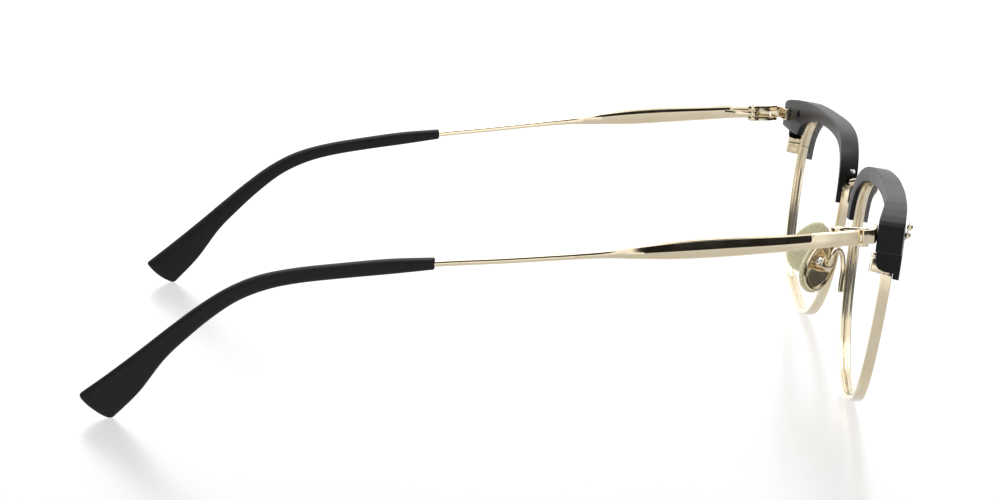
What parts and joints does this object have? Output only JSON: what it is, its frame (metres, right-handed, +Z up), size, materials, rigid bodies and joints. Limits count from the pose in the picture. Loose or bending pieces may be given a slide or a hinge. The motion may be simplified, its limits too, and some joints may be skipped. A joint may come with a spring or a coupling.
{
  "type": "browline glasses",
  "caption": "Open browline glasses: round-cornered metal rims under black brow pieces, metal bridge, screw-on rocking nose pads and folding metal temples with black sleeves.",
  "frame": {"origin": "middle of the bounding box at its base, on the surface the open glasses stand on with both rims and both temple tips", "axes": "+Z up, the front faces -Y, the open temples run towards +Y, the wearer's left side is +X"},
  "size_m": [0.15, 0.1516, 0.0425],
  "materials": {
    "gold_metal": "polished pale gold plating",
    "silver_screw": "bright turned steel",
    "black_brow": "satin black",
    "black_sleeve": "satin black",
    "soft_pad": "translucent silicone",
    "lens": "clear, anti-reflection coated"
  },
  "bodies": {
    "front": {"rim_left": "gold_metal", "rim_right": "gold_metal", "closing_block_left": "gold_metal", "closing_block_right": "gold_metal", "closing_screw_left": "silver_screw", "closing_screw_right": "silver_screw", "lens_left": "lens", "lens_right": "lens", "bridge": "gold_metal", "pad_arm_left": "gold_metal", "pad_arm_right": "gold_metal", "pad_box_left": "gold_metal", "pad_box_right": "gold_metal", "pad_screw_left": "silver_screw", "pad_screw_right": "silver_screw", "brow_left": "black_brow", "brow_right": "black_brow", "brow_screw_left": "silver_screw", "brow_screw_right": "silver_screw", "rivet_plate_left": "gold_metal", "rivet_plate_right": "gold_metal", "endpiece_left": "gold_metal", "endpiece_right": "gold_metal", "hinge_front_left": "gold_metal", "hinge_front_right": "gold_metal", "hinge_screw_left": "silver_screw", "hinge_screw_right": "silver_screw"},
    "temple_left_body": {"hinge_temple_left": "gold_metal", "temple_left": "gold_metal", "temple_sleeve_left": "black_sleeve"},
    "temple_right_body": {"hinge_temple_right": "gold_metal", "temple_right": "gold_metal", "temple_sleeve_right": "black_sleeve"},
    "nose_pad_left_body": {"pad_mount_left": "gold_metal", "nose_pad_left": "soft_pad"},
    "nose_pad_right_body": {"pad_mount_right": "gold_metal", "nose_pad_right": "soft_pad"}
  },
  "joints": [
    {"name": "temple_left_fold", "type": "hinge", "parent": "front", "child": "temple_left_body", "pos_m": [0.0704, -0.058, 0.03785], "axis": [0, 0, 1], "range_deg": [0, 86]},
    {"name": "temple_right_fold", "type": "hinge", "parent": "front", "child": "temple_right_body", "pos_m": [-0.0704, -0.058, 0.03785], "axis": [0, 0, -1], "range_deg": [0, 82]},
    {"name": "nose_pad_left_rock", "type": "hinge", "parent": "front", "child": "nose_pad_left_body", "pos_m": [0.01036, -0.06422, 0.02032], "axis": [0.2961, 0.8027, 0.5177], "range_deg": [-8, 8]},
    {"name": "nose_pad_right_rock", "type": "hinge", "parent": "front", "child": "nose_pad_right_body", "pos_m": [-0.01036, -0.06422, 0.02032], "axis": [0.2961, -0.8027, -0.5177], "range_deg": [-8, 8]}
  ]
}
